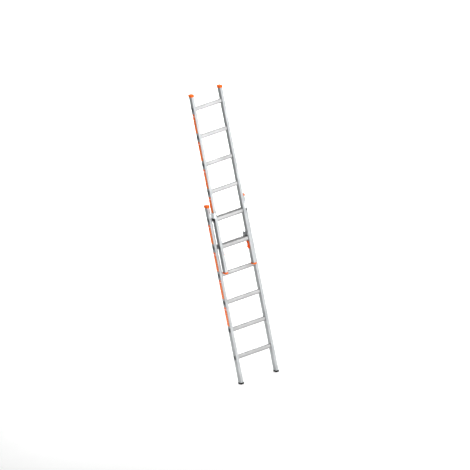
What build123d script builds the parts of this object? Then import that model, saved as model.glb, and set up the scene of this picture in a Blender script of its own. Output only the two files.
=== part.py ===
from build123d import *
from collections import namedtuple
import os

# A push-up extension ladder of two sections, standing upright with the fly raised.
# Z runs up the stiles, X across the ladder, and the climber stands on the -Y side.
# The origin is on the ground, midway between the feet. Lengths are in millimetres.

# Layout of the rungs, the same in both sections
RUNG_COUNT = 6
RUNG_PITCH = 280.0
FIRST_RUNG = 270.0          # from the foot of a section to the axis of its lowest rung
ABOVE_LAST_RUNG = 152.0     # from the axis of the highest rung to the top of the cap
SECTION_HEIGHT = FIRST_RUNG + (RUNG_COUNT - 1) * RUNG_PITCH + ABOVE_LAST_RUNG
PITCHES_RAISED = 4

# Stile extrusion
STILE_WIDTH = 30.0
STILE_DEPTH = 54.0
STILE_WALL = 1.8
STILE_CORNER = 3.0
BASE_FRONT = -5.0           # front face of the base stiles
FLY_AHEAD = 46.0            # the fly's front face ahead of the base's

# Rung tube: flat ribbed tread above, upright sides, half round below
RUNG_RADIUS = 15.5
RUNG_DROP = 8.0             # centre of the half round below the rung's axis
TREAD_HEIGHT = 18.0         # tread above the rung's axis, ribs included
TREAD_CORNER = 1.5
RUNG_WALL = 1.8
RIB_HEIGHT = 0.9
RIB_WIDTH = 2.0
RIB_SPACING = 5.2
RIB_COUNT = 5
RUNG_SETBACK = 27.0         # rung axis behind the front face of its stiles
HOLE_CLEARANCE = 0.05
BEAD_GROWTH = 3.0           # swelled ring inside the stile
BEAD_THICKNESS = 3.0
FLARE_GROWTH = 2.6          # turned-over lip outside the stile
FLARE_THICKNESS = 1.8
RING_EDGE = 0.8

# Moulded end caps and rubber feet
CAP_HEIGHT = 24.0
FLY_FOOT_HEIGHT = 18.0
BASE_FOOT_HEIGHT = 16.0
CAP_WALL = 3.8
FLY_FOOT_WALL = 2.5
CAP_ROOF = 5.0
CAP_ROUNDING = 3.0
FOOT_WALL = 3.0
FOOT_SOLE = 8.0
FOOT_ROUNDING = 1.2
POCKET_CLEARANCE = 0.1
PLUG_CLEARANCE = 0.3
PLUG_WALL = 2.4
PLUG_CORNER = 2.0
PLUG_REACH = 14.0           # plug past the end of the skirt
GROOVE_DEPTH = 2.5
GROOVE_WIDTH = 3.0
GROOVE_SPACING = 8.0
GROOVES_EACH_SIDE = 3

# Guides that hold the fly to the top of the base
GUIDE_GAP = 2.8             # beyond the fly's side face, to pass its flared rung ends
STRAP_THICKNESS = 3.0
STRAP_BOTTOM = 1692.0
STRAP_HEIGHT = 50.0
STRAP_BEND = 4.0
STRAP_LIP = 20.0
STRAP_FLANGE = 20.0
LIP_GAP = 0.5
FLANGE_RIVETS = (12.0, 38.0)  # up from the foot of the strap
FLANGE_RIVET_INSET = 10.0     # from the base stile's inner face
TONGUE_THICKNESS = 2.5      # part of the block that reaches up inside the strap
TONGUE_HEIGHT = 48.0
TONGUE_INSET = 6.0
BLOCK_BOTTOM = 1665.0
BLOCK_HEIGHT = 25.0
BLOCK_THICKNESS = TONGUE_THICKNESS + STRAP_THICKNESS
BLOCK_INSET = 0.5
BLOCK_ROUNDING = 1.5

# Blind rivets
RIVET_SHANK = 2.4
RIVET_HEAD = 4.6
RIVET_DOME = 1.8
RIVET_DOME_RADIUS = (RIVET_HEAD**2 + RIVET_DOME**2) / (2 * RIVET_DOME)
RIVET_TAIL = 3.3
RIVET_TAIL_LENGTH = 4.0
RIVET_HOLE = 2.45

# Hooks by which the fly hangs on a base rung, measured from that rung's axis
HOOK_PLATE = 4.0
HOOK_CROWN = 60.0
HOOK_REAR = 33.0
HOOK_TIP = -4.0
HOOK_SEAT = TREAD_HEIGHT + 0.3
HOOK_SLOT = RUNG_RADIUS + 0.7
HOOK_NECK = 26.5
HOOK_FRONT = 66.0
HOOK_SHELF = 23.0
HOOK_RIVET_HEIGHT = 45.0
HOOK_RIVETS = (-58.0, -34.0)
HOOK_CROWN_ROUNDING = 24.0
HOOK_FRONT_ROUNDING = 7.0
HOOK_TIP_ROUNDING = 2.5

# Sprung safety latches under the same rung
LATCH_OUTLINE = (
    (-8.0, -25.0),
    (-8.0, -32.0),
    (-20.0, -46.0),
    (-22.0, -72.0),
    (-27.0, -108.0),
    (-52.0, -108.0),
    (-58.0, -92.0),
    (-58.0, -40.0),
    (-50.0, -31.0),
    (-26.0, -29.0),
)
LATCH_ROUNDING = 2.5
LATCH_THICKNESS = 6.7
LATCH_SIDE_GAP = 0.3
LATCH_PIVOT = (-41.0, -60.0)
LATCH_PIN = 3.0
LATCH_BORE = 3.06
LATCH_BOSS = 4.4
LATCH_BOSS_HEIGHT = 3.6
PIN_HEAD = 5.6
PIN_HEAD_THICKNESS = 2.0
PIN_HEAD_GAP = 0.3
PIN_TAIL = 4.2
PIN_TAIL_LENGTH = 2.0
TAB_REACH = 13.5
TAB_CENTRE = (-36.0, -84.0)
TAB_SIZE = (15.0, 13.0)
TAB_CORNER = 3.0
TAB_DRAFT = 4.0             # degrees
SPRING_WIRE = 0.5
SPRING_RADIUS = 5.4
SPRING_PITCH = 1.25
SPRING_TURNS = 1.5
SPRING_LEG = 13.0
SPRING_GAP = 0.7             # between the first turn and the latch, to clear the sloping leg

# Printed labels on the outer faces of the left stiles
LABEL_THICKNESS = 0.3
LABEL_WIDTH = 46.0
LABEL_CORNER = 4.0
LABEL_BELOW_RUNG = 46.0
LABEL_LENGTH = 192.0
SHORT_LABEL_LENGTH = 160.0
LABELLED_RUNGS = (6, 5, 4, 3)

LEFT, RIGHT = -1, 1
SIDES = {"left": LEFT, "right": RIGHT}

Section = namedtuple("Section", "name stile_x front bottom")
BASE = Section("base", 200.0, BASE_FRONT, 0.0)
FLY = Section("fly", 161.5, BASE_FRONT - FLY_AHEAD, PITCHES_RAISED * RUNG_PITCH)


def outer_face(section):
    """Distance of a stile's outer face from the middle of the ladder."""
    return section.stile_x + STILE_WIDTH / 2


def inner_face(section):
    """Distance of a stile's inner face from the middle of the ladder."""
    return section.stile_x - STILE_WIDTH / 2


def stile_middle(section):
    """Y of the middle of a section's stiles."""
    return section.front + STILE_DEPTH / 2


def rung_y(section):
    """Y of the axes of a section's rungs."""
    return section.front + RUNG_SETBACK


def rung_height(section, number):
    """Height of a rung's axis, counted from 1 at the section's foot."""
    return section.bottom + FIRST_RUNG + (number - 1) * RUNG_PITCH


HELD_RUNG = (rung_y(BASE), rung_height(BASE, RUNG_COUNT - 1))


def from_held_rung(along, up):
    """Point in Y and Z given from the axis of the base rung that the hooks rest on."""
    return HELD_RUNG[0] + along, HELD_RUNG[1] + up


def across(x, y, z):
    """Plane square to X at a point, drawn on in Y and Z."""
    return Plane(origin=(x, y, z), x_dir=(0, 1, 0), z_dir=(1, 0, 0))


def facing(side, x, y, z):
    """Plane square to X at a point, facing away from the middle on the given side."""
    return Plane(origin=(side * x, y, z), x_dir=(0, 1, 0), z_dir=(side, 0, 0))


def save(part, name):
    """Label a finished sub-part and write it as its own file."""
    part.label = name
    export_step(part, f"parts/{name}.step")


def rung_outline(grow=0.0, tread=TREAD_HEIGHT):
    """Draw a rung's outline about its axis, moved out all round by grow."""
    radius = RUNG_RADIUS + grow
    with Locations((0, -RUNG_DROP)):
        Circle(radius)
        Rectangle(2 * radius, RUNG_DROP + tread + grow, align=(Align.CENTER, Align.MIN))
    fillet(vertices().group_by(Axis.Y)[-1], TREAD_CORNER)


def make_rung(section, number):
    """Rung: a ribbed D-shaped tube, swelled inside each stile and turned over outside it."""
    axis = across(0, rung_y(section), rung_height(section, number))
    half_tube = outer_face(section) + FLARE_THICKNESS
    rings = (
        (outer_face(section), half_tube, FLARE_GROWTH),
        (inner_face(section), inner_face(section) - BEAD_THICKNESS, BEAD_GROWTH),
    )
    with BuildPart() as rung:
        with BuildSketch(axis.offset(-half_tube)):
            rung_outline(tread=TREAD_HEIGHT - RIB_HEIGHT)
            with Locations((0, TREAD_HEIGHT - RIB_HEIGHT)):
                with GridLocations(RIB_SPACING, 0, RIB_COUNT, 1):
                    Rectangle(RIB_WIDTH, 2 * RIB_HEIGHT)
        extrude(amount=2 * half_tube)
        for against_stile, crest, growth in rings:
            for side in (LEFT, RIGHT):
                with BuildSketch(axis.offset(side * against_stile)):
                    rung_outline(growth)
                extrude(amount=side * (crest - against_stile))
                ends = rung.faces().filter_by(Axis.X)
                nearest = ends.sort_by(lambda face: abs(face.center().X - side * crest))[0]
                chamfer(nearest.outer_wire().edges(), RING_EDGE)
        with BuildSketch(axis.offset(-half_tube)):
            rung_outline(-RUNG_WALL, TREAD_HEIGHT - RIB_HEIGHT)
        extrude(amount=2 * half_tube, mode=Mode.SUBTRACT)
    save(rung.part, f"{section.name}_rung_{number}")


def stile_outline(grow, corner, mode=Mode.ADD):
    """Draw the stile's outer outline, moved out all round by grow."""
    RectangleRounded(STILE_WIDTH + 2 * grow, STILE_DEPTH + 2 * grow, corner, mode=mode)


def pierce(side, x, y, z, radius, depth):
    """Drill inwards along X from a point on a stile's face."""
    with Locations(facing(side, x, y, z)):
        Hole(radius, depth)


def make_stile(section, side_name):
    """Stile: a closed box extrusion, pierced through both sides for every rung."""
    side = SIDES[side_name]
    with BuildPart() as stile:
        with BuildSketch(Plane.XY.offset(section.bottom + FOOT_SOLE)):
            with Locations((side * section.stile_x, stile_middle(section))):
                stile_outline(0, STILE_CORNER)
                stile_outline(-STILE_WALL, STILE_CORNER - STILE_WALL, Mode.SUBTRACT)
        extrude(amount=SECTION_HEIGHT - FOOT_SOLE - CAP_ROOF)
        for number in range(1, RUNG_COUNT + 1):
            height = rung_height(section, number)
            with BuildSketch(across(side * section.stile_x, rung_y(section), height)):
                rung_outline(HOLE_CLEARANCE)
            extrude(amount=STILE_WIDTH, both=True, mode=Mode.SUBTRACT)
        if section is FLY:
            drill_for_hook_and_latch(side)
        else:
            drill_for_guide(side)
    save(stile.part, f"{section.name}_stile_{side_name}")


def drill_for_hook_and_latch(side):
    """Holes in a fly stile's inner wall for the hook's rivets and the latch's pin."""
    wall = inner_face(FLY)
    for along in HOOK_RIVETS:
        y, z = from_held_rung(along, HOOK_RIVET_HEIGHT)
        pierce(-side, -wall, y, z, RIVET_HOLE, STILE_WALL)
    y, z = from_held_rung(*LATCH_PIVOT)
    pierce(-side, -wall, y, z, LATCH_BORE, STILE_WALL)


def flange_rivet_points(side):
    """Where the strap's two rivets enter the front face of a base stile."""
    x = side * (inner_face(BASE) + FLANGE_RIVET_INSET)
    return [Vector(x, BASE.front, STRAP_BOTTOM + up) for up in FLANGE_RIVETS]


def stud_point(side):
    """Centre of the stud that pins the block's tongue to the strap, on the strap's outer face."""
    outside = outer_face(FLY) + GUIDE_GAP + BLOCK_THICKNESS
    return Vector(side * outside, (FLY.front + BASE.front) / 2, STRAP_BOTTOM + STRAP_HEIGHT / 2)


def drill_for_guide(side):
    """Holes in a base stile's front wall for the strap's rivets."""
    for point in flange_rivet_points(side):
        with Locations(Plane(origin=point, z_dir=(0, -1, 0))):
            Hole(RIVET_HOLE, STILE_WALL)


def end_plane(section, side, end):
    """Plane over the end of a stile, facing out of it: end is 1 at the top and -1 at the foot."""
    height = section.bottom + (SECTION_HEIGHT if end > 0 else 0.0)
    return Plane(
        origin=(side * section.stile_x, stile_middle(section), height),
        x_dir=(1, 0, 0),
        z_dir=(0, 0, end),
    )


def make_boot(name, outward, height, wall, roof, rounding, grooves_each_side=0):
    """Boot over a stile's end: a skirt outside, a hollow plug inside, and any grooves across its sole."""
    plug = -STILE_WALL - PLUG_CLEARANCE
    with BuildPart() as boot:
        with BuildSketch(outward.offset(-height)):
            stile_outline(wall, STILE_CORNER + wall)
        extrude(amount=height)
        fillet(boot.faces().sort_by(Axis(outward.origin, outward.z_dir))[-1].edges(), rounding)
        with BuildSketch(outward.offset(-height)):
            stile_outline(POCKET_CLEARANCE, STILE_CORNER)
        extrude(amount=height - roof, mode=Mode.SUBTRACT)
        with BuildSketch(outward.offset(-height - PLUG_REACH)):
            stile_outline(plug, PLUG_CORNER)
            stile_outline(plug - PLUG_WALL, PLUG_CORNER / 2, Mode.SUBTRACT)
        extrude(amount=height + PLUG_REACH - roof)
        for row in range(grooves_each_side):
            reach = (row + 0.5) * GROOVE_SPACING
            with BuildSketch(outward):
                with Locations((0, reach), (0, -reach)):
                    Rectangle(2 * STILE_WIDTH, GROOVE_WIDTH)
            extrude(amount=-GROOVE_DEPTH, mode=Mode.SUBTRACT)
    save(boot.part, name)


def make_guide_strap(side_name):
    """Bent metal strap from the base stile's face round the side and front of the fly stile."""
    side = SIDES[side_name]
    middle = stud_point(side)
    beside = abs(middle.X) - STRAP_THICKNESS / 2
    on_base = BASE.front - STRAP_THICKNESS / 2
    round_fly = FLY.front - LIP_GAP - STRAP_THICKNESS / 2
    with BuildPart() as strap:
        with BuildSketch(Plane.XY.offset(STRAP_BOTTOM)):
            with BuildLine():
                FilletPolyline(
                    (side * (beside + STRAP_FLANGE), on_base),
                    (side * beside, on_base),
                    (side * beside, round_fly),
                    (side * (beside - STRAP_LIP), round_fly),
                    radius=STRAP_BEND,
                )
            trace(line_width=STRAP_THICKNESS)
        extrude(amount=STRAP_HEIGHT)
        for point in flange_rivet_points(side):
            face = point - Vector(0, STRAP_THICKNESS, 0)
            with Locations(Plane(origin=face, z_dir=(0, -1, 0))):
                Hole(RIVET_HOLE, STRAP_THICKNESS)
        pierce(side, abs(middle.X), middle.Y, middle.Z, RIVET_HOLE, STRAP_THICKNESS)
    save(strap.part, f"guide_strap_{side_name}")


def make_guide_block(side_name):
    """Moulded glide block beside the fly stile, with a tongue that reaches up inside the strap."""
    side = SIDES[side_name]
    middle = stud_point(side)
    beside = abs(middle.X) - BLOCK_THICKNESS
    depth = BASE.front - FLY.front
    upward = (Align.CENTER, Align.CENTER, Align.MIN)
    with BuildPart() as block:
        with Locations((side * (beside + BLOCK_THICKNESS / 2), middle.Y, BLOCK_BOTTOM)):
            Box(BLOCK_THICKNESS, depth - 2 * BLOCK_INSET, BLOCK_HEIGHT, align=upward)
        fillet(block.edges().filter_by(Axis.Z), BLOCK_ROUNDING)
        chamfer(block.faces().filter_by(Axis.Z).edges(), RING_EDGE)
        with Locations((side * (beside + TONGUE_THICKNESS / 2), middle.Y, BLOCK_BOTTOM)):
            Box(
                TONGUE_THICKNESS,
                depth - 2 * TONGUE_INSET,
                BLOCK_HEIGHT + TONGUE_HEIGHT,
                align=upward,
            )
        pierce(side, abs(middle.X), middle.Y, middle.Z, RIVET_HOLE, BLOCK_THICKNESS)
    save(block.part, f"guide_block_{side_name}")


def rivet_section(head_point, outward, grip, tailed=True):
    """Half section of a rivet: a domed head on its point, and a swelled tail past the grip."""
    radial = Vector(0, 0, 1)
    blunt = [(0, -grip), (RIVET_SHANK, -grip)]
    swelled = [
        (0, -grip - RIVET_TAIL_LENGTH),
        (RIVET_TAIL, -grip - RIVET_TAIL_LENGTH),
        (RIVET_TAIL, -grip),
        (RIVET_SHANK, -grip),
    ]
    inner_end = swelled if tailed else blunt
    with BuildSketch(Plane(origin=head_point, x_dir=radial, z_dir=radial.cross(outward))) as half:
        with BuildLine():
            outline = Polyline(*inner_end, (RIVET_SHANK, 0), (RIVET_HEAD, 0))
            dome = RadiusArc(outline @ 1, (0, RIVET_DOME), -RIVET_DOME_RADIUS)
            Line(dome @ 1, outline @ 0)
        make_face()
    return half.sketch


def make_guide_rivets(side_name):
    """The two rivets of one strap, and the stud that holds its block."""
    side = SIDES[side_name]
    forward = Vector(0, -1, 0)
    sideways = Vector(side, 0, 0)
    stud = stud_point(side)
    with BuildPart() as rivets:
        for point in flange_rivet_points(side):
            head = point + forward * STRAP_THICKNESS
            half = rivet_section(head, forward, STRAP_THICKNESS + STILE_WALL)
            revolve(half, axis=Axis(head, forward))
        half = rivet_section(stud, sideways, BLOCK_THICKNESS, tailed=False)
        revolve(half, axis=Axis(stud, sideways))
    save(rivets.part, f"guide_rivets_{side_name}")


def make_hook_rivets(side_name):
    """The two rivets of one hook."""
    side = SIDES[side_name]
    outward = Vector(-side, 0, 0)
    with BuildPart() as rivets:
        for along in HOOK_RIVETS:
            y, z = from_held_rung(along, HOOK_RIVET_HEIGHT)
            head = Vector(side * (inner_face(FLY) - HOOK_PLATE), y, z)
            revolve(rivet_section(head, outward, HOOK_PLATE + STILE_WALL), axis=Axis(head, outward))
    save(rivets.part, f"hook_rivets_{side_name}")


def make_hook(side_name):
    """Plate hook on the fly stile's inner face, reaching back and down over the base rung."""
    side = SIDES[side_name]
    with BuildPart() as hook:
        with BuildSketch(across(side * inner_face(FLY), *HELD_RUNG)):
            with BuildLine():
                Polyline(
                    (-HOOK_FRONT, HOOK_SHELF),
                    (-HOOK_NECK, HOOK_SHELF),
                    (-HOOK_NECK, HOOK_TIP),
                    (-HOOK_SLOT, HOOK_TIP),
                    (-HOOK_SLOT, HOOK_SEAT),
                    (HOOK_SLOT, HOOK_SEAT),
                    (HOOK_SLOT, HOOK_TIP),
                    (HOOK_REAR, HOOK_TIP),
                    (HOOK_REAR, HOOK_CROWN),
                    (-HOOK_FRONT, HOOK_CROWN),
                    close=True,
                )
            make_face()
            crown = vertices().group_by(Axis.Y)[-1].sort_by(Axis.X)
            fillet(crown[-1], HOOK_CROWN_ROUNDING)
            fillet(vertices().sort_by(Axis.X)[0:2], HOOK_FRONT_ROUNDING)
            fillet(vertices().group_by(Axis.Y)[0], HOOK_TIP_ROUNDING)
        extrude(amount=-side * HOOK_PLATE)
        for along in HOOK_RIVETS:
            y, z = from_held_rung(along, HOOK_RIVET_HEIGHT)
            pierce(-side, -(inner_face(FLY) - HOOK_PLATE), y, z, RIVET_HOLE, HOOK_PLATE)
    save(hook.part, f"hook_{side_name}")


def make_latch(side_name):
    """Moulded latch lever: a nose under the base rung, a bored boss and a thumb tab."""
    side = SIDES[side_name]
    outer = inner_face(FLY) - LATCH_SIDE_GAP
    inboard = outer - LATCH_THICKNESS
    with BuildPart() as latch:
        with BuildSketch(across(side * outer, *HELD_RUNG)):
            with BuildLine():
                Polyline(*LATCH_OUTLINE, close=True)
            make_face()
            fillet(vertices(), LATCH_ROUNDING)
        extrude(amount=-side * LATCH_THICKNESS)
        with BuildSketch(across(side * inboard, *from_held_rung(*LATCH_PIVOT))):
            Circle(LATCH_BOSS)
        extrude(amount=-side * LATCH_BOSS_HEIGHT)
        with BuildSketch(across(side * inboard, *from_held_rung(*TAB_CENTRE))):
            RectangleRounded(*TAB_SIZE, TAB_CORNER)
        extrude(amount=-side * TAB_REACH, taper=TAB_DRAFT)
        y, z = from_held_rung(*LATCH_PIVOT)
        pierce(side, outer, y, z, LATCH_BORE, LATCH_THICKNESS + LATCH_BOSS_HEIGHT)
    save(latch.part, f"latch_{side_name}")


def make_latch_pin(side_name):
    """Pivot pin of a latch, headed inside the ladder and upset inside the stile."""
    side = SIDES[side_name]
    y, z = from_held_rung(*LATCH_PIVOT)
    boss_end = inner_face(FLY) - LATCH_SIDE_GAP - LATCH_THICKNESS - LATCH_BOSS_HEIGHT
    head_base = boss_end - PIN_HEAD_GAP
    inside_wall = inner_face(FLY) + STILE_WALL
    with BuildPart() as pin:
        with BuildSketch(facing(side, head_base - PIN_HEAD_THICKNESS, y, z)):
            Circle(PIN_HEAD)
        extrude(amount=PIN_HEAD_THICKNESS)
        chamfer(pin.faces().sort_by(lambda face: side * face.center().X)[0].edges(), RING_EDGE)
        with BuildSketch(facing(side, head_base, y, z)):
            Circle(LATCH_PIN)
        extrude(amount=inside_wall - head_base)
        with BuildSketch(facing(side, inside_wall, y, z)):
            Circle(PIN_TAIL)
        extrude(amount=PIN_TAIL_LENGTH)
    save(pin.part, f"latch_pin_{side_name}")


def make_latch_spring(side_name):
    """Torsion spring wound round the latch's boss, with a straight leg at each end."""
    side = SIDES[side_name]
    y, z = from_held_rung(*LATCH_PIVOT)
    start_x = inner_face(FLY) - LATCH_SIDE_GAP - LATCH_THICKNESS - SPRING_WIRE - SPRING_GAP
    with BuildPart() as spring:
        with BuildLine() as wire:
            coil = Helix(
                SPRING_PITCH,
                SPRING_PITCH * SPRING_TURNS,
                SPRING_RADIUS,
                center=(side * start_x, y, z),
                direction=(-side, 0, 0),
            )
            Line(coil @ 1, coil @ 1 + (coil % 1) * SPRING_LEG)
            Line(coil @ 0 - (coil % 0) * SPRING_LEG, coil @ 0)
        with BuildSketch(Plane(origin=wire.line @ 0, z_dir=wire.line % 0)):
            Circle(SPRING_WIRE)
        sweep(transition=Transition.ROUND)
    save(spring.part, f"latch_spring_{side_name}")


def make_label(section, number, length):
    """Self-adhesive label on the left stile's outer face, below a rung."""
    top = rung_height(section, number) - LABEL_BELOW_RUNG
    with BuildPart() as label:
        with BuildSketch(facing(LEFT, outer_face(section), stile_middle(section), top - length / 2)):
            RectangleRounded(LABEL_WIDTH, length, LABEL_CORNER)
        extrude(amount=LABEL_THICKNESS)
    save(label.part, f"{section.name}_label_{number}")


def make_section(section):
    """Stiles, rungs, top caps and labels of one section."""
    for side_name in SIDES:
        make_stile(section, side_name)
        top = end_plane(section, SIDES[side_name], 1)
        name = f"{section.name}_cap_{side_name}"
        make_boot(name, top, CAP_HEIGHT, CAP_WALL, CAP_ROOF, CAP_ROUNDING)
    for number in range(1, RUNG_COUNT + 1):
        make_rung(section, number)
    for number in LABELLED_RUNGS:
        shortened = section is FLY and number == LABELLED_RUNGS[-1]
        make_label(section, number, SHORT_LABEL_LENGTH if shortened else LABEL_LENGTH)


def make_feet(side_name):
    """Grooved rubber foot of the base and plain moulded foot of the fly."""
    side = SIDES[side_name]
    make_boot(
        f"base_foot_{side_name}",
        end_plane(BASE, side, -1),
        BASE_FOOT_HEIGHT,
        FOOT_WALL,
        FOOT_SOLE,
        FOOT_ROUNDING,
        GROOVES_EACH_SIDE,
    )
    make_boot(
        f"fly_foot_{side_name}",
        end_plane(FLY, side, -1),
        FLY_FOOT_HEIGHT,
        FLY_FOOT_WALL,
        FOOT_SOLE,
        CAP_ROUNDING,
    )


os.makedirs("parts", exist_ok=True)
for ladder_section in (BASE, FLY):
    make_section(ladder_section)
for stile_side in SIDES:
    make_feet(stile_side)
    make_guide_strap(stile_side)
    make_guide_block(stile_side)
    make_guide_rivets(stile_side)
    make_hook(stile_side)
    make_hook_rivets(stile_side)
    make_latch(stile_side)
    make_latch_pin(stile_side)
    make_latch_spring(stile_side)
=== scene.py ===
import logging
import math
from collections.abc import Sequence
from dataclasses import dataclass
from enum import Enum

import bmesh
import bpy
from mathutils import Matrix, Vector


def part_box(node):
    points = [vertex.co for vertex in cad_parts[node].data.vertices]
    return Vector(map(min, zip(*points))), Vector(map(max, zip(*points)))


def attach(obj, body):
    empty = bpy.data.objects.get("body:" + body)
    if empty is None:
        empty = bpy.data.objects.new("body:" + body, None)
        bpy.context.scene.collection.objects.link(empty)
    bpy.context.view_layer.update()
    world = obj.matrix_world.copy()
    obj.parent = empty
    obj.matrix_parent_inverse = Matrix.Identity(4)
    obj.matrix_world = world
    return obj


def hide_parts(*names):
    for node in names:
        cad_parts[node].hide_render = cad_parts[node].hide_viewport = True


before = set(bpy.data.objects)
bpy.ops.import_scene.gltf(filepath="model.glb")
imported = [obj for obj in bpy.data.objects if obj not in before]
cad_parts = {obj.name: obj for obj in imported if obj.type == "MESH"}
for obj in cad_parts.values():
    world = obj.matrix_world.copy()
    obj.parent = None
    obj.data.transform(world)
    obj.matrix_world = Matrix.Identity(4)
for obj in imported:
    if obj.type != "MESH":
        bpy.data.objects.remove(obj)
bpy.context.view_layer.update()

# The looks of a two-section extension ladder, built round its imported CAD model.
# X runs across the ladder, the climber stands on the -Y side and Z is up, all in metres.
# Sizes in the classes are in millimetres, and MM turns them into metres.

LOG = logging.getLogger("ladder")
MM = 0.001
RUNG_COUNT = 6
# Points nearer than this are the same point, in millimetres
WELD_GAP = 0.005
# Faces that meet at less than this are one flat face, in degrees
FLAT_ANGLE = 1.0
# An edge sharper than this is rounded, or stays sharp on a moulding, in degrees
CORNER_ANGLE = 40
# The sRGB curve: its straight part at the dark end, then its power part
SRGB_KNEE = 0.04045
SRGB_SLOPE = 12.92
SRGB_OFFSET = 0.055
SRGB_POWER = 2.4

Colour = tuple[float, float, float, float]
Point = tuple[float, float]


class Section(Enum):
    """The two sections of the ladder, named as their CAD nodes are."""

    BASE = "base"
    FLY = "fly"


class Side(Enum):
    """The two stiles of a section, seen by the climber."""

    LEFT = -1
    RIGHT = 1

    @property
    def label(self) -> str:
        """Name that the side has in the CAD nodes."""
        return self.name.lower()


class Slot(Enum):
    """Names of the material slots that the pieces stand for."""

    STILE = "stile_aluminium"
    RUNG = "rung_aluminium"
    CAP = "cap_plastic"
    LATCH = "latch_plastic"
    FOOT = "foot_rubber"
    GLIDE = "glide_plastic"
    STRAP = "strap_metal"
    HOOK = "hook_metal"
    RIVET = "rivet_metal"
    SPRING = "spring_steel"
    LABEL = "label_film"


class Grain(Enum):
    """The way that a drawn or rolled surface was pulled, as an axis number."""

    ACROSS = 0
    UPWARD = 2


# ---------------------------------------------------------------- helpers


def linear(hex_colour: str) -> Colour:
    """Turn an sRGB hex colour into linear light.

    Args:
        hex_colour: Six hex digits, with or without a leading hash.

    Returns:
        Linear red, green and blue, and an alpha of 1.
    """
    digits = hex_colour.lstrip("#")
    channels = [int(digits[start : start + 2], 16) / 255 for start in (0, 2, 4)]
    red, green, blue = (
        share / SRGB_SLOPE
        if share <= SRGB_KNEE
        else ((share + SRGB_OFFSET) / (1 + SRGB_OFFSET)) ** SRGB_POWER
        for share in channels
    )
    return (red, green, blue, 1.0)


def add_node(
    tree: bpy.types.NodeTree, kind: str, inputs: dict | None = None, **settings: object
) -> bpy.types.Node:
    """Add a node with its settings, constants and links.

    Args:
        tree: Tree that the node goes into.
        kind: Type name of the node.
        inputs: Input name or number to a constant, or to the socket that feeds it.
        settings: Properties of the node itself.

    Returns:
        The new node.
    """
    node = tree.nodes.new(kind)
    for name, value in settings.items():
        setattr(node, name, value)
    for key, value in (inputs or {}).items():
        if isinstance(value, bpy.types.NodeSocket):
            tree.links.new(value, node.inputs[key])
        else:
            node.inputs[key].default_value = value
    return node


def new_mesh_object(name: str, mesh: bpy.types.Mesh) -> bpy.types.Object:
    """Put a mesh into the scene as an object at the origin.

    Args:
        name: Name of the object.
        mesh: Its mesh, already in place.

    Returns:
        The new object.
    """
    made = bpy.data.objects.new(name, mesh)
    bpy.context.scene.collection.objects.link(made)
    return made


def mesh_from(
    name: str, points: Sequence[Vector], edges: Sequence = (), faces: Sequence = ()
) -> bpy.types.Mesh:
    """Make a mesh from points in metres.

    Args:
        name: Name of the mesh.
        points: Its vertices.
        edges: Pairs of vertex numbers.
        faces: Lists of vertex numbers.

    Returns:
        The new mesh.
    """
    mesh = bpy.data.meshes.new(name)
    mesh.from_pydata([tuple(p) for p in points], list(edges), list(faces))
    mesh.update()
    return mesh


def settle(piece: bpy.types.Object) -> bpy.types.Object:
    """Turn a piece's modifiers into plain mesh and take them off.

    Args:
        piece: Object whose modifiers are all wanted.

    Returns:
        The same object, with its evaluated mesh.
    """
    graph = bpy.context.evaluated_depsgraph_get()
    result = bpy.data.meshes.new_from_object(
        piece.evaluated_get(graph), preserve_all_data_layers=True, depsgraph=graph
    )
    piece.modifiers.clear()
    rough = piece.data
    piece.data = result
    bpy.data.meshes.remove(rough)
    return piece


def hand_over(
    piece: bpy.types.Object, body: str, slot: Slot, *replaced: str
) -> bpy.types.Object:
    """Let a finished piece ride on its body, and report it.

    Args:
        piece: Finished object at the origin.
        body: Name of the CAD body that carries it.
        slot: Material slot meant for the piece; not used.
        replaced: CAD nodes that it stands for.

    Returns:
        The same object.
    """
    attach(piece, body)
    if replaced:
        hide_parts(*replaced)
    LOG.info("%s rides on %s with %d faces", piece.name, body, len(piece.data.polygons))
    return piece


def dress_node(name: str, finish: bpy.types.Material) -> None:
    """Give a CAD node that stays in view its finish.

    Args:
        name: Name of the node.
        finish: Material for all of its slots.
    """
    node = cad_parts[name]
    for place in node.material_slots:
        place.material = finish
    LOG.info("%s stays as it is in CAD, in %s", name, finish.name)


# ---------------------------------------------------------------- finishes


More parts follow.
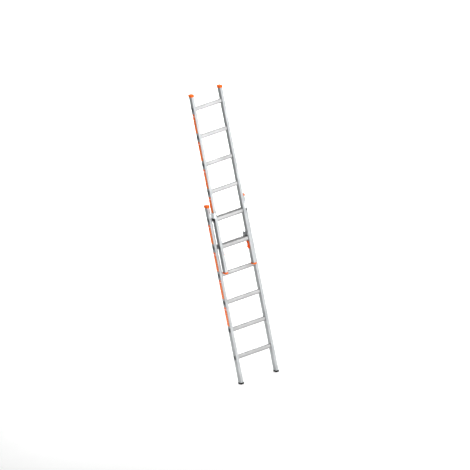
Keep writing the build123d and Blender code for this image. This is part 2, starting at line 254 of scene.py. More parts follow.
@dataclass(frozen=True)
class WorkedMetal:
    """A bare metal whose surface was pulled through a die or rolls.

    The die leaves fine lines along the pull, which spread highlights across it, and
    handling leaves broad dull patches. Lines are coarser than the real 0.1 mm ones,
    so that they show.
    """

    name: str
    colour: str
    streak: str
    roughness: float
    grain: Grain
    line_width: float = 1.6
    line_length: float = 700.0
    line_depth: float = 0.02
    patch_size: float = 90.0
    patch_dulling: float = 0.16
    scuff_size: float = 14.0

    def material(self) -> bpy.types.Material:
        """Build the node material.

        Returns:
            Material for one kind of drawn or rolled metal.
        """
        made = bpy.data.materials.new(self.name)
        made.use_nodes = True
        tree = made.node_tree
        shader = tree.nodes["Principled BSDF"]
        place = add_node(tree, "ShaderNodeTexCoord").outputs["Object"]
        fine = 1 / (self.line_width * MM)
        stretch = [fine, fine, fine]
        stretch[self.grain.value] = 1 / (self.line_length * MM)
        drawn = add_node(tree, "ShaderNodeMapping", {"Vector": place, "Scale": stretch})
        lines = add_node(
            tree,
            "ShaderNodeTexNoise",
            {"Vector": drawn.outputs[0], "Scale": 1.0, "Detail": 3.0, "Roughness": 0.6},
        ).outputs[0]
        patches = add_node(
            tree,
            "ShaderNodeTexNoise",
            {
                "Vector": place,
                "Scale": 1 / (self.patch_size * MM),
                "Detail": 4.0,
                "Roughness": 0.55,
            },
        ).outputs[0]
        scuffs = add_node(
            tree,
            "ShaderNodeTexNoise",
            {"Vector": place, "Scale": 1 / (self.scuff_size * MM), "Detail": 6.0, "Roughness": 0.7},
        ).outputs[0]
        worn = add_node(
            tree,
            "ShaderNodeMapRange",
            {"Value": scuffs, "From Min": 0.58, "From Max": 0.72, "To Min": 0.0, "To Max": 0.35},
        ).outputs[0]
        toned = add_node(
            tree,
            "ShaderNodeMapRange",
            {"Value": lines, "From Min": 0.35, "From Max": 0.68},
        ).outputs[0]
        streaked = add_node(
            tree,
            "ShaderNodeMix",
            {0: toned, 6: linear(self.streak), 7: linear(self.colour)},
            data_type="RGBA",
        ).outputs[2]
        colour = add_node(
            tree,
            "ShaderNodeMix",
            {0: worn, 6: streaked, 7: linear(self.streak)},
            data_type="RGBA",
        ).outputs[2]
        dulling = add_node(
            tree,
            "ShaderNodeMapRange",
            {
                "Value": patches,
                "From Min": 0.35,
                "From Max": 0.65,
                "To Min": self.roughness,
                "To Max": self.roughness + self.patch_dulling,
            },
        ).outputs[0]
        relief = add_node(
            tree,
            "ShaderNodeBump",
            {"Height": lines, "Strength": 0.35, "Distance": self.line_depth * MM},
        ).outputs[0]
        tree.links.new(colour, shader.inputs["Base Color"])
        tree.links.new(dulling, shader.inputs["Roughness"])
        tree.links.new(relief, shader.inputs["Normal"])
        shader.inputs["Metallic"].default_value = 1.0
        return made


@dataclass(frozen=True)
class TumbledMetal:
    """A small pressed or cast metal part that was tumbled and plated.

    Tumbling leaves a fine even peen that breaks highlights up, and plating clouds
    a little from place to place.
    """

    name: str
    colour: str
    cloud: str
    roughness: float
    peen_size: float = 1.2
    peen_depth: float = 0.05
    cloud_size: float = 18.0

    def material(self) -> bpy.types.Material:
        """Build the node material.

        Returns:
            Material for tumbled and plated parts.
        """
        made = bpy.data.materials.new(self.name)
        made.use_nodes = True
        tree = made.node_tree
        shader = tree.nodes["Principled BSDF"]
        place = add_node(tree, "ShaderNodeTexCoord").outputs["Object"]
        peen = add_node(
            tree,
            "ShaderNodeTexVoronoi",
            {"Vector": place, "Scale": 1 / (self.peen_size * MM)},
            feature="SMOOTH_F1",
        ).outputs["Distance"]
        clouds = add_node(
            tree,
            "ShaderNodeTexNoise",
            {"Vector": place, "Scale": 1 / (self.cloud_size * MM), "Detail": 5.0},
        ).outputs[0]
        clouded = add_node(
            tree,
            "ShaderNodeMapRange",
            {"Value": clouds, "From Min": 0.38, "From Max": 0.62},
        ).outputs[0]
        colour = add_node(
            tree,
            "ShaderNodeMix",
            {0: clouded, 6: linear(self.cloud), 7: linear(self.colour)},
            data_type="RGBA",
        ).outputs[2]
        gloss = add_node(
            tree,
            "ShaderNodeMapRange",
            {
                "Value": clouds,
                "From Min": 0.3,
                "From Max": 0.7,
                "To Min": self.roughness,
                "To Max": self.roughness + 0.12,
            },
        ).outputs[0]
        relief = add_node(
            tree,
            "ShaderNodeBump",
            {"Height": peen, "Strength": 0.3, "Distance": self.peen_depth * MM},
        ).outputs[0]
        tree.links.new(colour, shader.inputs["Base Color"])
        tree.links.new(gloss, shader.inputs["Roughness"])
        tree.links.new(relief, shader.inputs["Normal"])
        shader.inputs["Metallic"].default_value = 1.0
        return made


@dataclass(frozen=True)
class MouldedPlastic:
    """An injection-moulded plastic with a spark-eroded skin.

    The eroded mould gives an even fine grain that softens the gloss, the colour
    drifts a little where the melt met, and rubbing leaves paler, duller spots. The
    grain is coarser than the real 0.2 mm one, so that it shows.
    """

    name: str
    colour: str
    drift: str
    rubbed: str
    roughness: float
    ior: float
    specular: float = 0.28
    grain_size: float = 0.8
    grain_depth: float = 0.06
    drift_size: float = 45.0
    rub_size: float = 7.0

    def material(self) -> bpy.types.Material:
        """Build the node material.

        Returns:
            Material for one colour of moulding.
        """
        made = bpy.data.materials.new(self.name)
        made.use_nodes = True
        tree = made.node_tree
        shader = tree.nodes["Principled BSDF"]
        place = add_node(tree, "ShaderNodeTexCoord").outputs["Object"]
        grain = add_node(
            tree,
            "ShaderNodeTexNoise",
            {"Vector": place, "Scale": 1 / (self.grain_size * MM), "Detail": 2.0},
        ).outputs[0]
        drifting = add_node(
            tree,
            "ShaderNodeTexNoise",
            {"Vector": place, "Scale": 1 / (self.drift_size * MM), "Detail": 3.0},
        ).outputs[0]
        rubbing = add_node(
            tree,
            "ShaderNodeTexNoise",
            {"Vector": place, "Scale": 1 / (self.rub_size * MM), "Detail": 7.0, "Roughness": 0.72},
        ).outputs[0]
        rubbed = add_node(
            tree,
            "ShaderNodeMapRange",
            {"Value": rubbing, "From Min": 0.6, "From Max": 0.75, "To Min": 0.0, "To Max": 0.4},
        ).outputs[0]
        drifted = add_node(
            tree,
            "ShaderNodeMix",
            {0: drifting, 6: linear(self.drift), 7: linear(self.colour)},
            data_type="RGBA",
        ).outputs[2]
        colour = add_node(
            tree,
            "ShaderNodeMix",
            {0: rubbed, 6: drifted, 7: linear(self.rubbed)},
            data_type="RGBA",
        ).outputs[2]
        gloss = add_node(
            tree,
            "ShaderNodeMapRange",
            {
                "Value": rubbing,
                "From Min": 0.4,
                "From Max": 0.75,
                "To Min": self.roughness,
                "To Max": self.roughness + 0.2,
            },
        ).outputs[0]
        relief = add_node(
            tree,
            "ShaderNodeBump",
            {"Height": grain, "Strength": 0.25, "Distance": self.grain_depth * MM},
        ).outputs[0]
        tree.links.new(colour, shader.inputs["Base Color"])
        tree.links.new(gloss, shader.inputs["Roughness"])
        tree.links.new(relief, shader.inputs["Normal"])
        shader.inputs["IOR"].default_value = self.ior
        shader.inputs["Specular IOR Level"].default_value = self.specular
        return made


@dataclass(frozen=True)
class MouldedRubber:
    """Black rubber, pressed in a mould and dusty where it meets the ground.

    Rubber is dull and nearly black, with a slight bloom, and picks up pale dust
    over its lowest few millimetres.
    """

    name: str = "moulded_black_rubber"
    colour: str = "#0C0C0C"
    bloom: str = "#1A1A1A"
    dust: str = "#2A2927"
    roughness: float = 0.72
    ior: float = 1.52
    specular: float = 0.1
    bloom_size: float = 12.0
    grain_size: float = 0.9
    dust_height: float = 7.0

    def material(self) -> bpy.types.Material:
        """Build the node material.

        Returns:
            Material for the feet.
        """
        made = bpy.data.materials.new(self.name)
        made.use_nodes = True
        tree = made.node_tree
        shader = tree.nodes["Principled BSDF"]
        place = add_node(tree, "ShaderNodeTexCoord").outputs["Object"]
        height = add_node(tree, "ShaderNodeSeparateXYZ", {0: place}).outputs["Z"]
        blooming = add_node(
            tree,
            "ShaderNodeTexNoise",
            {"Vector": place, "Scale": 1 / (self.bloom_size * MM), "Detail": 5.0},
        ).outputs[0]
        grain = add_node(
            tree,
            "ShaderNodeTexNoise",
            {"Vector": place, "Scale": 1 / (self.grain_size * MM), "Detail": 3.0},
        ).outputs[0]
        low = add_node(
            tree,
            "ShaderNodeMapRange",
            {
                "Value": height,
                "From Min": 0.0,
                "From Max": self.dust_height * MM,
                "To Min": 0.75,
                "To Max": 0.0,
            },
        ).outputs[0]
        dusty = add_node(
            tree, "ShaderNodeMath", {0: low, 1: blooming}, operation="MULTIPLY"
        ).outputs[0]
        bloomed = add_node(
            tree,
            "ShaderNodeMix",
            {0: blooming, 6: linear(self.colour), 7: linear(self.bloom)},
            data_type="RGBA",
        ).outputs[2]
        colour = add_node(
            tree,
            "ShaderNodeMix",
            {0: dusty, 6: bloomed, 7: linear(self.dust)},
            data_type="RGBA",
        ).outputs[2]
        relief = add_node(
            tree,
            "ShaderNodeBump",
            {"Height": grain, "Strength": 0.35, "Distance": 0.1 * MM},
        ).outputs[0]
        tree.links.new(colour, shader.inputs["Base Color"])
        tree.links.new(relief, shader.inputs["Normal"])
        shader.inputs["Roughness"].default_value = self.roughness
        shader.inputs["IOR"].default_value = self.ior
        shader.inputs["Specular IOR Level"].default_value = self.specular
        return made


@dataclass(frozen=True)
class PrintedFilm:
    """Self-adhesive vinyl, printed with plain blocks and bars under a clear film.

    The UV map holds millimetres: across the label in U, and down from its top in V.
    A short block stands above a long bar, which has a column of pale dashes down
    its middle. The over-laminate gives a soft even gloss.
    """

    name: str = "printed_vinyl_label"
    ink: str = "#FF6000"
    film: str = "#EDEAE4"
    dash: str = "#FF9E52"
    faded: str = "#FF6C14"
    roughness: float = 0.34
    ior: float = 1.48
    specular: float = 0.25
    width: float = 46.0
    margin: float = 1.6
    block: float = 21.0
    gap: float = 4.0
    dash_width: float = 15.0
    dash_pitch: float = 24.0
    dash_start: float = 42.0
    dash_share: float = 0.45

    def within(
        self, tree: bpy.types.NodeTree, value: bpy.types.NodeSocket, middle: float, half: float
    ) -> bpy.types.NodeSocket:
        """Mark where a value lies within a band.

        Args:
            tree: Tree that the node goes into.
            value: Socket with the value, in millimetres.
            middle: Middle of the band.
            half: Half of its width.

        Returns:
            Socket that is 1 inside the band and 0 outside.
        """
        return add_node(
            tree, "ShaderNodeMath", {0: value, 1: middle, 2: half}, operation="COMPARE"
        ).outputs[0]

    def material(self) -> bpy.types.Material:
        """Build the node material.

        Returns:
            Material for every label.
        """
        made = bpy.data.materials.new(self.name)
        made.use_nodes = True
        tree = made.node_tree
        shader = tree.nodes["Principled BSDF"]
        coordinates = add_node(tree, "ShaderNodeTexCoord")
        printed = add_node(tree, "ShaderNodeSeparateXYZ", {0: coordinates.outputs["UV"]})
        across, down = printed.outputs["X"], printed.outputs["Y"]
        half_ink = self.width / 2 - self.margin
        inked = self.within(tree, across, self.width / 2, half_ink)
        in_gap = self.within(tree, down, self.block + self.gap / 2, self.gap / 2)
        solid = add_node(
            tree, "ShaderNodeMath", {0: inked, 1: in_gap}, operation="SUBTRACT", use_clamp=True
        ).outputs[0]
        column = self.within(tree, across, self.width / 2, self.dash_width / 2)
        stepped = add_node(
            tree,
            "ShaderNodeMath",
            {0: down, 1: self.dash_pitch},
            operation="MODULO",
        ).outputs[0]
        dashed = self.within(
            tree, stepped, self.dash_pitch / 2, self.dash_pitch * self.dash_share / 2
        )
        below = add_node(
            tree, "ShaderNodeMath", {0: down, 1: self.dash_start}, operation="GREATER_THAN"
        ).outputs[0]
        in_column = add_node(
            tree, "ShaderNodeMath", {0: column, 1: below}, operation="MULTIPLY"
        ).outputs[0]
        dashes = add_node(
            tree, "ShaderNodeMath", {0: in_column, 1: dashed}, operation="MULTIPLY"
        ).outputs[0]
        fading = add_node(
            tree,
            "ShaderNodeTexNoise",
            {"Vector": coordinates.outputs["Object"], "Scale": 1 / (30 * MM), "Detail": 3.0},
        ).outputs[0]
        ink = add_node(
            tree,
            "ShaderNodeMix",
            {0: fading, 6: linear(self.ink), 7: linear(self.faded)},
            data_type="RGBA",
        ).outputs[2]
        marked = add_node(
            tree,
            "ShaderNodeMix",
            {0: dashes, 6: ink, 7: linear(self.dash)},
            data_type="RGBA",
        ).outputs[2]
        colour = add_node(
            tree,
            "ShaderNodeMix",
            {0: solid, 6: linear(self.film), 7: marked},
            data_type="RGBA",
        ).outputs[2]
        tree.links.new(colour, shader.inputs["Base Color"])
        shader.inputs["Roughness"].default_value = self.roughness
        shader.inputs["IOR"].default_value = self.ior
        shader.inputs["Specular IOR Level"].default_value = self.specular
        return made


@dataclass(frozen=True)
class StudioFloor:
    """Matt painted floor of a photo studio, near white and very slightly uneven."""

    name: str = "matt_painted_floor"
    colour: str = "#F6F6F5"
    shade: str = "#F1F1F0"
    roughness: float = 0.9
    cloud_size: float = 900.0

    def material(self) -> bpy.types.Material:
        """Build the node material.

        Returns:
            Material for the floor.
        """
        made = bpy.data.materials.new(self.name)
        made.use_nodes = True
        tree = made.node_tree
        shader = tree.nodes["Principled BSDF"]
        place = add_node(tree, "ShaderNodeTexCoord").outputs["Object"]
        clouds = add_node(
            tree,
            "ShaderNodeTexNoise",
            {"Vector": place, "Scale": 1 / (self.cloud_size * MM), "Detail": 2.0},
        ).outputs[0]
        colour = add_node(
            tree,
            "ShaderNodeMix",
            {0: clouds, 6: linear(self.shade), 7: linear(self.colour)},
            data_type="RGBA",
        ).outputs[2]
        tree.links.new(colour, shader.inputs["Base Color"])
        shader.inputs["Roughness"].default_value = self.roughness
        shader.inputs["Specular IOR Level"].default_value = 0.1
        return made


@dataclass(frozen=True)
class Finishes:
    """Every finish of the ladder, made once and shared by its pieces."""

    stile: bpy.types.Material
    rung: bpy.types.Material
    bore: bpy.types.Material
    cap: bpy.types.Material
    latch: bpy.types.Material
    rubber: bpy.types.Material
    glide: bpy.types.Material
    strap: bpy.types.Material
    hook: bpy.types.Material
    rivet: bpy.types.Material
    wire: bpy.types.Material
    label: bpy.types.Material
    floor: bpy.types.Material

    @classmethod
    def make(cls) -> "Finishes":
        """Build each finish from what the real surface is.

        Returns:
            The set of materials.
        """
        return cls(
            # Extruded aluminium, left as it came from the die: grey, satin, lined lengthwise
            stile=WorkedMetal(
                "extruded_aluminium_stile", "#B3B5B6", "#A1A4A6", 0.5, Grain.UPWARD
            ).material(),
            # Drawn aluminium tube: greyer and smoother than the stiles, lined along the rung
            rung=WorkedMetal(
                "drawn_aluminium_rung", "#A2A2A2", "#9A9A9A", 0.42, Grain.ACROSS, line_length=300.0
            ).material(),
            # The same tube inside: never handled, so dull; its darker grey than the rung is painted
            # shade inside the tube
            bore=WorkedMetal(
                "drawn_aluminium_bore", "#9A9C9F", "#8C8E91", 0.6, Grain.ACROSS, line_length=300.0
            ).material(),
            # Orange polypropylene: a saturated, slightly waxy skin
            cap=MouldedPlastic(
                "moulded_orange_polypropylene", "#E86400", "#E05A00", "#EE7410", 0.45, 1.49
            ).material(),
            # Glass-filled nylon in a redder orange, drier than the caps
            latch=MouldedPlastic(
                "moulded_orange_nylon", "#FF6000", "#FA5400", "#FF7E20", 0.46, 1.53
            ).material(),
            rubber=MouldedRubber().material(),
            # Black nylon that the stile slides against: smooth, with polished rubs
            glide=MouldedPlastic(
                "moulded_black_nylon", "#1B1B1C", "#141415", "#3A3A3B", 0.42, 1.53
            ).material(),
            # Bright zinc plating on rolled steel strip
            strap=TumbledMetal("zinc_plated_steel_strip", "#EEF0F1", "#DEE2E5", 0.5).material(),
            # Pressed plate in tumbled aluminium alloy, greyer than the stiles
            hook=TumbledMetal("pressed_alloy_plate", "#A4A6A8", "#8A8D90", 0.42).material(),
            # Drawn rivet wire: small and bright
            rivet=TumbledMetal(
                "drawn_aluminium_rivet", "#C9CBCD", "#B2B5B8", 0.34, cloud_size=5.0
            ).material(),
            # Hard-drawn spring wire, zinc plated
            wire=WorkedMetal(
                "hard_drawn_spring_wire", "#B4B6B8", "#97999C", 0.3, Grain.UPWARD, line_width=0.3
            ).material(),
            label=PrintedFilm().material(),
            floor=StudioFloor().material(),
        )


# ---------------------------------------------------------------- geometry node trees


class NodeTool:
    """A geometry node tree with named inputs, run once on an object's mesh."""

    KINDS = {
        "length": "NodeSocketFloat",
        "count": "NodeSocketInt",
        "place": "NodeSocketVector",
        "shape": "NodeSocketObject",
        "finish": "NodeSocketMaterial",
    }

    def __init__(self, name: str, **inputs: str) -> None:
        """Start a tree that takes and gives geometry.

        Args:
            name: Name of the tree.
            inputs: Input name, with underscores for spaces, to one of the KINDS.
        """
        self.tree = bpy.data.node_groups.new(name, "GeometryNodeTree")
        face = self.tree.interface
        face.new_socket("Geometry", in_out="INPUT", socket_type="NodeSocketGeometry")
        self.identifiers = {
            key: face.new_socket(
                key.replace("_", " ").capitalize(), in_out="INPUT", socket_type=self.KINDS[kind]
            ).identifier
            for key, kind in inputs.items()
        }
        face.new_socket("Geometry", in_out="OUTPUT", socket_type="NodeSocketGeometry")
        self.entry = self.tree.nodes.new("NodeGroupInput")
        self.exit = self.tree.nodes.new("NodeGroupOutput")

    def value(self, key: str) -> bpy.types.NodeSocket:
        """Socket inside the tree that carries the named input."""
        return self.entry.outputs[key.replace("_", " ").capitalize()]

    def finish(self, geometry: bpy.types.NodeSocket) -> None:
        """End the tree with real, dressed geometry.

        Args:
            geometry: Socket with the result.
        """
        real = add_node(self.tree, "GeometryNodeRealizeInstances", {"Geometry": geometry})
        dressed = add_node(
            self.tree,
            "GeometryNodeSetMaterial",
            {"Geometry": real.outputs[0], "Material": self.value("finish")},
        )
        self.tree.links.new(dressed.outputs[0], self.exit.inputs[0])

    def run(self, piece: bpy.types.Object, **values: object) -> bpy.types.Object:
        """Run the tree on an object and keep the plain mesh.

        Args:
            piece: Object whose mesh the tree starts from.
            values: Input name to its value.

        Returns:
            The same object, with its new mesh and no modifier.
        """
        modifier = piece.modifiers.new(self.tree.name, "NODES")
        modifier.node_group = self.tree
        for key, value in values.items():
            modifier[self.identifiers[key]] = value
        return settle(piece)


def rung_tool() -> NodeTool:
    """Tree that sweeps a rung's section along its axis and repeats it up the section.

    Returns:
        Tool that starts from a line of points along one rung, with a swell at each.
    """
    tool = NodeTool(
        "Swept rungs",
        outline="shape",
        half_width="length",
        half_height="length",
        rung_count="count",
        first="place",
        step="place",
        finish="finish",
    )
    tree = tool.tree
    line = add_node(tree, "GeometryNodeMeshToCurve", {"Mesh": tool.entry.outputs["Geometry"]})
    upright = add_node(
        tree, "GeometryNodeSetCurveNormal", {"Curve": line.outputs[0]}, mode="Z_UP"
    )
    drawn = add_node(tree, "GeometryNodeObjectInfo", {"Object": tool.value("outline")})
    section = add_node(tree, "GeometryNodeMeshToCurve", {"Mesh": drawn.outputs["Geometry"]})
    swell = add_node(
        tree, "GeometryNodeInputNamedAttribute", {"Name": "swell"}, data_type="FLOAT"
    )
    tube = add_node(
        tree,
        "GeometryNodeCurveToMesh",
        {"Curve": upright.outputs[0], "Profile Curve": section.outputs[0]},
    )
    growth = [
        add_node(
            tree,
            "ShaderNodeMath",
            {0: swell.outputs["Attribute"], 1: tool.value(half)},
            operation="DIVIDE",
        ).outputs[0]
        for half in ("half_width", "half_height")
    ]
    share = add_node(tree, "ShaderNodeCombineXYZ", {"Y": growth[0], "Z": growth[1]})
    position = add_node(tree, "GeometryNodeInputPosition")
    outwards = add_node(
        tree,
        "ShaderNodeVectorMath",
        {0: position.outputs[0], 1: share.outputs[0]},
        operation="MULTIPLY",
    )
    swelled = add_node(
        tree,
        "GeometryNodeSetPosition",
        {"Geometry": tube.outputs[0], "Offset": outwards.outputs[0]},
    )
    smooth = add_node(
        tree,
        "GeometryNodeSetShadeSmooth",
        {"Geometry": swelled.outputs[0], "Shade Smooth": True},
    )
    steps = add_node(
        tree,
        "GeometryNodeMeshLine",
        {
            "Count": tool.value("rung_count"),
            "Start Location": tool.value("first"),
            "Offset": tool.value("step"),
        },
    )
    placed = add_node(
        tree,
        "GeometryNodeInstanceOnPoints",
        {"Points": steps.outputs[0], "Instance": smooth.outputs[0]},
    )
    tool.finish(placed.outputs[0])
    return tool


def strip_tool() -> NodeTool:
    """Tree that bends a flat strip along a path with rounded corners.

    Returns:
        Tool that starts from the corners of the path.
    """
    tool = NodeTool(
        "Bent strip",
        thickness="length",
        height="length",
        bend_radius="length",
        edge_radius="length",
        finish="finish",
    )
    tree = tool.tree
    path = add_node(tree, "GeometryNodeMeshToCurve", {"Mesh": tool.entry.outputs["Geometry"]})
    bent = add_node(
        tree,
        "GeometryNodeFilletCurve",
        {"Curve": path.outputs[0], "Count": 7, "Radius": tool.value("bend_radius")},
        mode="POLY",
    )
    upright = add_node(
        tree, "GeometryNodeSetCurveNormal", {"Curve": bent.outputs[0]}, mode="Z_UP"
    )
    flat = add_node(
        tree,
        "GeometryNodeCurvePrimitiveQuadrilateral",
        {"Width": tool.value("thickness"), "Height": tool.value("height")},
        mode="RECTANGLE",
    )
    section = add_node(
        tree,
        "GeometryNodeFilletCurve",
        {"Curve": flat.outputs[0], "Count": 3, "Radius": tool.value("edge_radius")},
        mode="POLY",
    )
    strip = add_node(
        tree,
        "GeometryNodeCurveToMesh",
        {"Curve": upright.outputs[0], "Profile Curve": section.outputs[0], "Fill Caps": True},
    )
    tool.finish(strip.outputs[0])
    return tool


def wire_tool() -> NodeTool:
    """Tree that gives a wire its round section.

    Returns:
        Tool that starts from the wire's middle line.
    """
    tool = NodeTool("Round wire", radius="length", finish="finish")
    tree = tool.tree
    line = add_node(tree, "GeometryNodeMeshToCurve", {"Mesh": tool.entry.outputs["Geometry"]})
    section = add_node(
        tree,
        "GeometryNodeCurvePrimitiveCircle",
        {"Resolution": 10, "Radius": tool.value("radius")},
        mode="RADIUS",
    )
    wire = add_node(
        tree,
        "GeometryNodeCurveToMesh",
        {"Curve": line.outputs[0], "Profile Curve": section.outputs[0], "Fill Caps": True},
    )
    smooth = add_node(
        tree, "GeometryNodeSetShadeSmooth", {"Geometry": wire.outputs[0], "Shade Smooth": True}
    )
    tool.finish(smooth.outputs[0])
    return tool


def fastener_tool() -> NodeTool:
    """Tree that sets one fastener at each point, facing along the point's outward way.

    Returns:
        Tool that starts from the points, which have an attribute named outward.
    """
    tool = NodeTool("Set fasteners", fastener="shape", finish="finish")
    tree = tool.tree
    outward = add_node(
        tree, "GeometryNodeInputNamedAttribute", {"Name": "outward"}, data_type="FLOAT_VECTOR"
    )
    facing = add_node(
        tree,
        "FunctionNodeAlignRotationToVector",
        {"Vector": outward.outputs["Attribute"]},
        axis="Z",
    )
    drawn = add_node(tree, "GeometryNodeObjectInfo", {"Object": tool.value("fastener")})
    placed = add_node(
        tree,
        "GeometryNodeInstanceOnPoints",
        {
            "Points": tool.entry.outputs["Geometry"],
            "Instance": drawn.outputs["Geometry"],
            "Rotation": facing.outputs[0],
        },
    )
    tool.finish(placed.outputs[0])
    return tool


# ---------------------------------------------------------------- sub-assemblies


@dataclass
class Stiles:
    """The four box stiles, whose pierced extrusions stay as they are in CAD."""

    finishes: Finishes

    def build(self) -> None:
        """Dress both stiles of both sections."""
        for section in Section:
            for side in Side:
                dress_node(f"{section.value}_stile_{side.label}", self.finishes.stile)


@dataclass
class RungSet:
    """The rungs of one section: ribbed D-shaped tubes swelled against both stiles."""

    section: Section
    finishes: Finishes
    tool: NodeTool
    radius: float = 15.5
    tread_corner: float = 1.5
    wall: float = 1.8
    rib_height: float = 0.9
    rib_width: float = 2.0
    rib_spacing: float = 5.2
    rib_count: int = 5
    bead_growth: float = 3.0
    bead_thickness: float = 3.0
    lip_growth: float = 2.6
    lip_thickness: float = 1.8
    round_steps: int = 24
    corner_steps: int = 4
    rib_profile: tuple[Point, ...] = (
        (1.0, 0), (0.9, 0.7), (0.6, 1), (-0.6, 1), (-0.9, 0.7), (-1.0, 0)
    )

    def outline(self, half_height: float) -> list[Point]:
        """Section of the tube round its middle, half round below and ribbed on top.

        Args:
            half_height: Half of its height, in millimetres.

        Returns:
            Points in millimetres, anticlockwise, with the tread upwards.
        """
        points = []
        for step in range(self.round_steps + 1):
            turn = math.pi * (1 + step / self.round_steps)
            up = self.radius * (1 + math.sin(turn)) - half_height
            points.append((self.radius * math.cos(turn), up))
        land = half_height - self.rib_height
        middle = self.radius - self.tread_corner
        for step in range(self.corner_steps + 1):
            turn = math.pi / 2 * step / self.corner_steps
            across = middle + self.tread_corner * math.cos(turn)
            points.append((across, land - self.tread_corner * (1 - math.sin(turn))))
        for rib in reversed(range(self.rib_count)):
            centre = (rib - (self.rib_count - 1) / 2) * self.rib_spacing
            for share, height in self.rib_profile:
                along = centre + share * self.rib_width / 2
                points.append((along, land + height * self.rib_height))
        corner = points[self.round_steps + 1 :][: self.corner_steps + 1]
        left = [(-across, up) for across, up in corner]
        return points + list(reversed(left))

    def stations(self, inner: float, outer: float) -> list[Point]:
        """Places along half a rung and how far the tube is swelled there.

        Args:
            inner: Distance of the stile's inner face from the middle, in millimetres.
            outer: Distance of its outer face.

        Returns:
            Pairs of distance from the middle and growth of the section.
        """
        bead, lip = self.bead_growth, self.lip_growth
        crest = inner - self.bead_thickness / 2
        end = outer + self.lip_thickness
        return [
            (0.0, 0.0),
            (inner * 0.5, 0.0),
            (inner - 9.0, 0.0),
            (inner - 5.5, 0.0),
            (inner - 4.4, 0.10 * bead),
            (inner - 3.6, 0.35 * bead),
            (inner - 2.9, 0.72 * bead),
            (inner - 2.2, 0.94 * bead),
            (crest, bead),
            (inner - 0.8, 0.94 * bead),
            (inner - 0.25, 0.72 * bead),
            (inner, 0.3 * bead),
            (inner + 0.15, 0.0),
            (outer - 0.15, 0.0),
            (outer, 0.35 * lip),
            (outer + 0.25, 0.72 * lip),
            (outer + 0.7, 0.94 * lip),
            (outer + 1.2, lip),
            (end - 0.2, 0.95 * lip),
            (end, 0.8 * lip),
        ]

    def build(self) -> bpy.types.Object:
        """Sweep one rung, repeat it up the section and dress the set.

        Returns:
            The rungs as one piece.
        """
        name = self.section.value
        stile_low, stile_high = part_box(f"{name}_stile_right")
        first_low, first_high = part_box(f"{name}_rung_1")
        last_low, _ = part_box(f"{name}_rung_{RUNG_COUNT}")
        middle = (first_low + first_high) / 2
        half_height = (first_high.z - first_low.z) / (2 * MM) - self.bead_growth
        half = self.stations(stile_low.x / MM, stile_high.x / MM)
        whole = [(-x, growth) for x, growth in reversed(half[1:])] + half
        points = [Vector((x * MM, 0, 0)) for x, _ in whole]
        line = mesh_from(f"{name}_rungs", points, [(i, i + 1) for i in range(len(points) - 1)])
        swell = line.attributes.new("swell", "FLOAT", "POINT")
        swell.data.foreach_set("value", [growth for _, growth in whole])
        section = [Vector((across * MM, -up * MM, 0)) for across, up in self.outline(half_height)]
        ring = [(i, (i + 1) % len(section)) for i in range(len(section))]
        drawn = new_mesh_object("rung_section", mesh_from("rung_section", section, ring))
        piece = self.tool.run(
            new_mesh_object(f"{name}_rungs", line),
            outline=drawn,
            half_width=self.radius,
            half_height=half_height,
            rung_count=RUNG_COUNT,
            first=(0.0, middle.y, middle.z),
            step=(0.0, 0.0, (last_low.z - first_low.z) / (RUNG_COUNT - 1)),
            finish=self.finishes.rung,
        )
        bpy.data.objects.remove(drawn)
        self.turn_outwards(piece.data)
        # The inner shell takes the bore finish, whose darker grey is painted shade inside the tubes
        piece.data.materials.append(self.finishes.bore)
        wall = piece.modifiers.new("Tube wall", "SOLIDIFY")
        wall.thickness = self.wall * MM
        wall.offset = -1.0
        wall.material_offset = 1
        settle(piece)
        nodes = [f"{name}_rung_{number}" for number in range(1, RUNG_COUNT + 1)]
        return hand_over(piece, name, Slot.RUNG, *nodes)

    @staticmethod
    def turn_outwards(mesh: bpy.types.Mesh) -> None:
        """Make the open tubes' faces point away from their axes.

        Args:
            mesh: Mesh of the swept tubes.
        """
        shell = bmesh.new()
        shell.from_mesh(mesh)
        bmesh.ops.recalc_face_normals(shell, faces=shell.faces)
        lowest = min(shell.faces, key=lambda face: face.calc_center_median().z)
        if lowest.normal.z > 0:
            bmesh.ops.reverse_faces(shell, faces=shell.faces)
        shell.to_mesh(mesh)
        shell.free()


